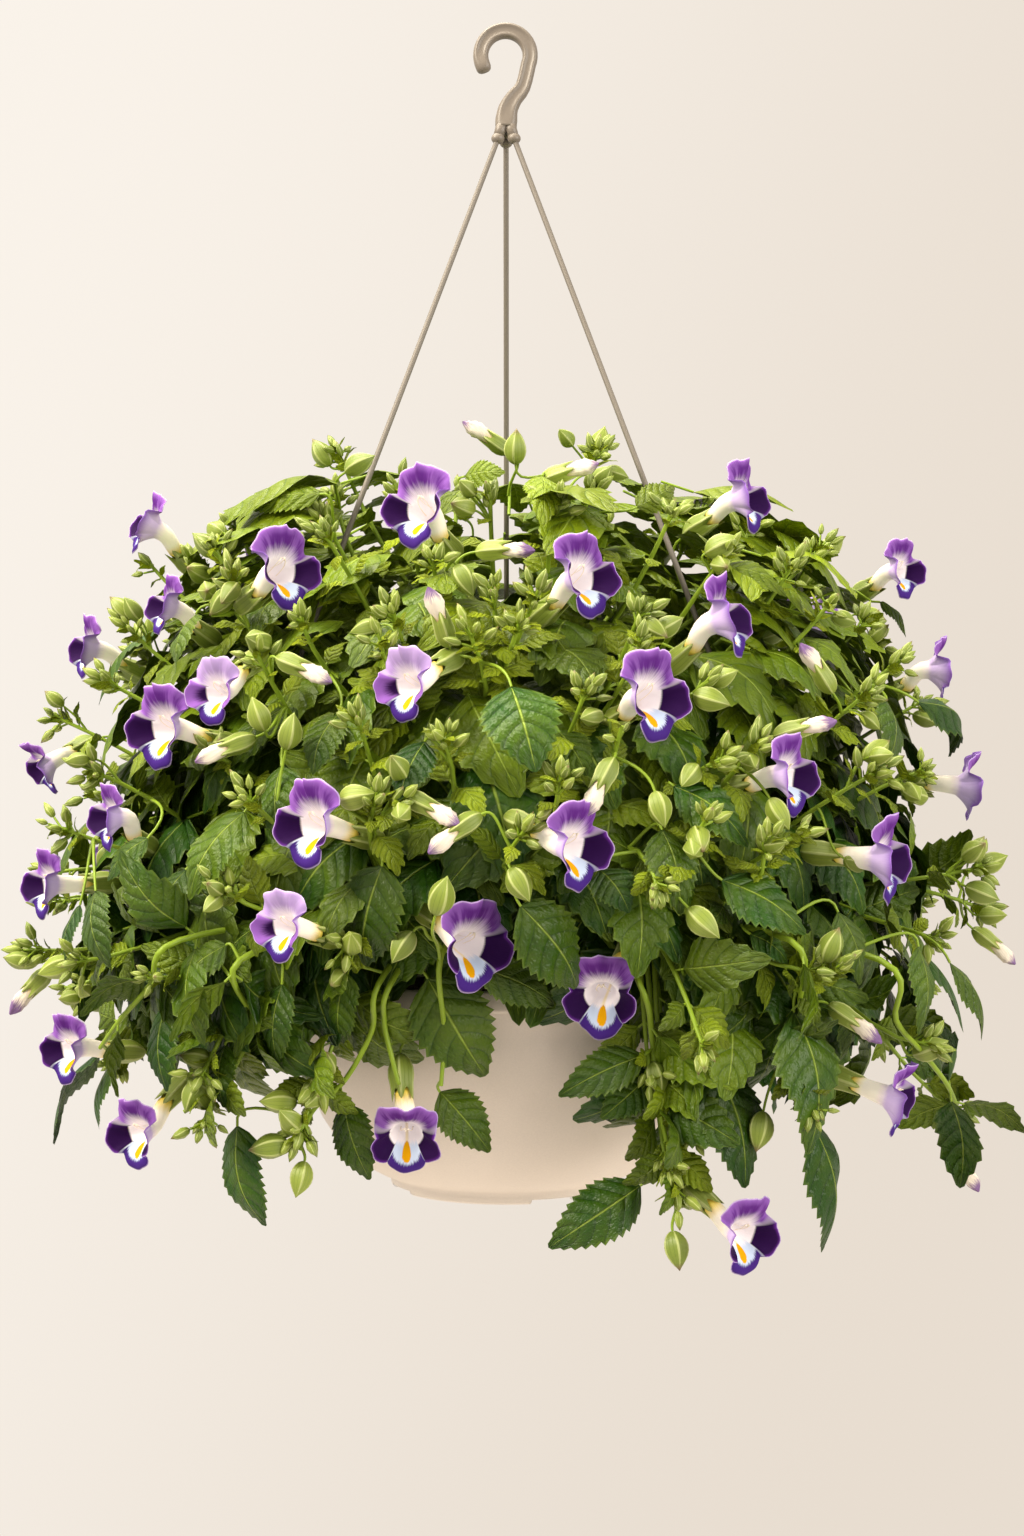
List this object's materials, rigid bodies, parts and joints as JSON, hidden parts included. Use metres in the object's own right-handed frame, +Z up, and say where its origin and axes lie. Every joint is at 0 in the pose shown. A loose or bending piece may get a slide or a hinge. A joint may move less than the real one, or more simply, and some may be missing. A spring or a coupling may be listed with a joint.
{
  "type": "hanging flower basket",
  "caption": "Moulded hanging pot on wires under an open hook, planted with a trailing mound of toothed leaves, ribbed pods and two-lipped violet blooms.",
  "frame": {"origin": "inside crown of the hook, on the hanging axis, where the bar that carries the basket lies", "axes": "+Z up along the hanging axis, -Y towards the front of the basket, +X to the right seen from the front"},
  "size_m": [0.5454, 0.4556, 0.6545],
  "materials": {
    "pot": "warm cream moulded plastic, matt",
    "soil": "dark crumbly potting soil",
    "hook": "grey-beige moulded plastic with a soft sheen",
    "wire": "grey-beige coated steel wire",
    "foliage": "satin green leaves, stems, pods and calyces",
    "petals": "velvety violet and white petals with a yellow mark"
  },
  "bodies": {
    "root": {"pot": "pot", "soil": "soil", "hanger_hook": "hook", "wire_left": "wire", "wire_right": "wire", "wire_back": "wire", "leafy_stems_01": "foliage", "leafy_stems_02": "foliage", "leafy_stems_03": "foliage", "leafy_stems_04": "foliage", "leafy_stems_05": "foliage", "leafy_stems_06": "foliage", "leafy_stems_07": "foliage", "leafy_stems_08": "foliage", "leafy_stems_09": "foliage", "leafy_stems_10": "foliage", "bloom_01": "petals", "bloom_02": "petals", "bloom_03": "petals", "bloom_04": "petals", "bloom_05": "petals", "bloom_06": "petals", "bloom_07": "petals", "bloom_08": "petals", "bloom_09": "petals", "bloom_10": "petals", "bloom_11": "petals", "bloom_12": "petals", "bloom_13": "petals", "bloom_14": "petals", "bloom_15": "petals", "bloom_16": "petals", "bloom_17": "petals", "bloom_18": "petals", "bloom_19": "petals", "bloom_20": "petals", "bloom_21": "petals", "bloom_22": "petals", "bloom_23": "petals", "bloom_24": "petals", "bloom_25": "petals", "bloom_26": "petals", "bloom_27": "petals", "bloom_28": "petals", "bloom_29": "petals", "bloom_30": "petals", "bloom_31": "petals", "bloom_32": "petals", "bloom_33": "petals", "bloom_34": "petals", "bloom_35": "petals", "bloom_36": "petals", "bloom_37": "petals", "bloom_38": "petals", "bloom_39": "petals", "bloom_40": "petals", "bloom_41": "petals", "bloom_42": "petals"}
  },
  "joints": []
}
